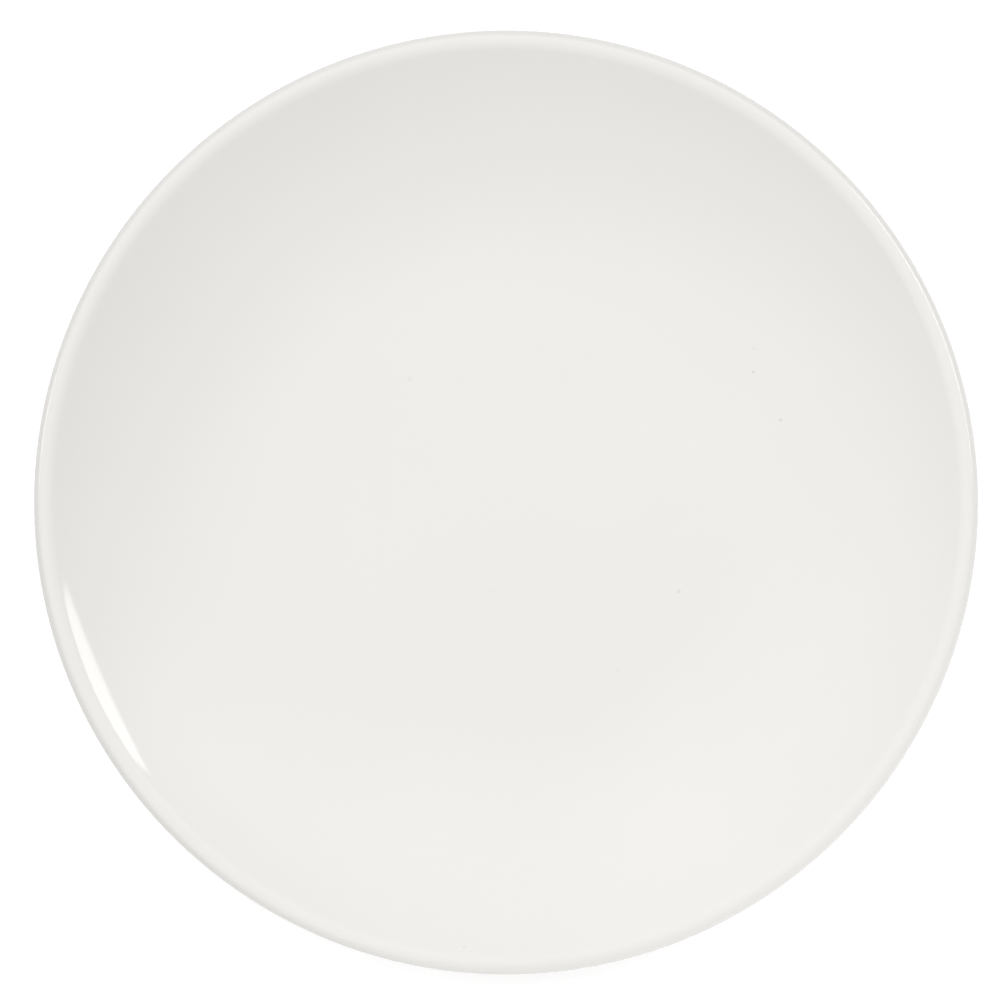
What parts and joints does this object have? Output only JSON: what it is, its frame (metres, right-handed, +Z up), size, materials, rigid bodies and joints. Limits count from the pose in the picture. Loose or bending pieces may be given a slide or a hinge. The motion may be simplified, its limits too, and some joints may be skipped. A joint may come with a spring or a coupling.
{
  "type": "coupe dinner plate",
  "caption": "Round rimless dinner plate with a flat well, a wall that curves up to a rounded lip and a foot ring, glossy white glaze.",
  "frame": {"origin": "centre of the foot ring, on the table that the plate stands on", "axes": "+Z up along the plate's axis, towards the eating face; the plate is round, so +X and +Y are free"},
  "size_m": [0.27, 0.27, 0.025],
  "materials": {
    "biscuit": "bare fired porcelain, ground smooth on the land of the foot ring",
    "glaze": "glossy warm white transparent glaze over white porcelain"
  },
  "bodies": {
    "root": {"porcelain_body": "biscuit", "glaze_coat": "glaze", "recess_glaze": "glaze"}
  },
  "joints": []
}
